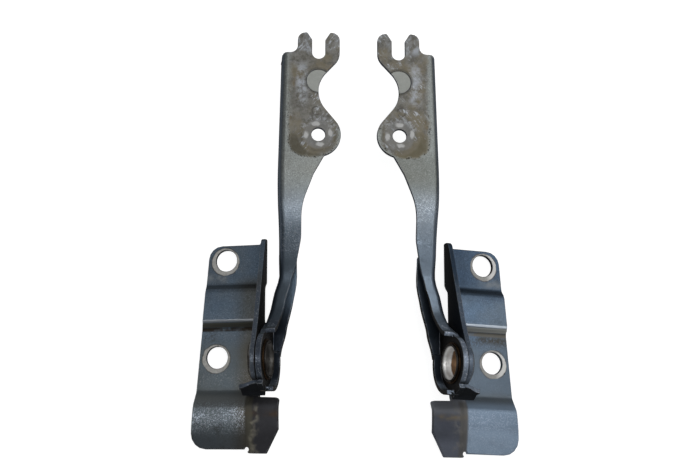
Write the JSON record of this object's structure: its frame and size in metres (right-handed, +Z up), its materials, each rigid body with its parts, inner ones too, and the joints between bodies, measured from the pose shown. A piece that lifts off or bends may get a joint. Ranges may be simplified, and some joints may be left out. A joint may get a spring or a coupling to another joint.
{
  "type": "bonnet hinge pair",
  "caption": "Handed pair of pressed sheet bonnet hinges: stepped body bracket, swept arm with slotted bonnet plate, hollow rivet pivot with flanged bushes.",
  "frame": {"origin": "centre of the pair's footprint, on the plane under its lowest edges", "axes": "+Y forward towards the fork ends of the arms, +Z up, X = 0 the mirror plane of the pair"},
  "size_m": [0.2192, 0.2875, 0.0544],
  "materials": {
    "painted_bracket": "satin blue-grey paint with fine flake",
    "painted_arm": "satin grey paint worn at the bonnet plate",
    "rivet_steel": "dull",
    "bush_bronze": "dull bronze",
    "washer_steel": "dull"
  },
  "bodies": {
    "brackets": {"left_body_bracket": "painted_bracket", "left_pivot_rivet": "rivet_steel", "left_backing_washer": "washer_steel", "right_body_bracket": "painted_bracket", "right_pivot_rivet": "rivet_steel", "right_backing_washer": "washer_steel"},
    "left_arm": {"left_bonnet_arm": "painted_arm", "left_inner_bush": "bush_bronze", "left_outer_bush": "bush_bronze"},
    "right_arm": {"right_bonnet_arm": "painted_arm", "right_inner_bush": "bush_bronze", "right_outer_bush": "bush_bronze"}
  },
  "joints": [
    {"name": "left_arm_hinge", "type": "hinge", "parent": "brackets", "child": "left_arm", "pos_m": [-0.0648, -0.08475, 0.0363], "axis": [0.9703, 0.0085, 0.2419], "range_deg": [0, 44]},
    {"name": "right_arm_hinge", "type": "hinge", "parent": "brackets", "child": "right_arm", "pos_m": [0.0648, -0.08475, 0.0363], "axis": [0.9703, -0.0085, -0.2419], "range_deg": [0, 44]}
  ]
}
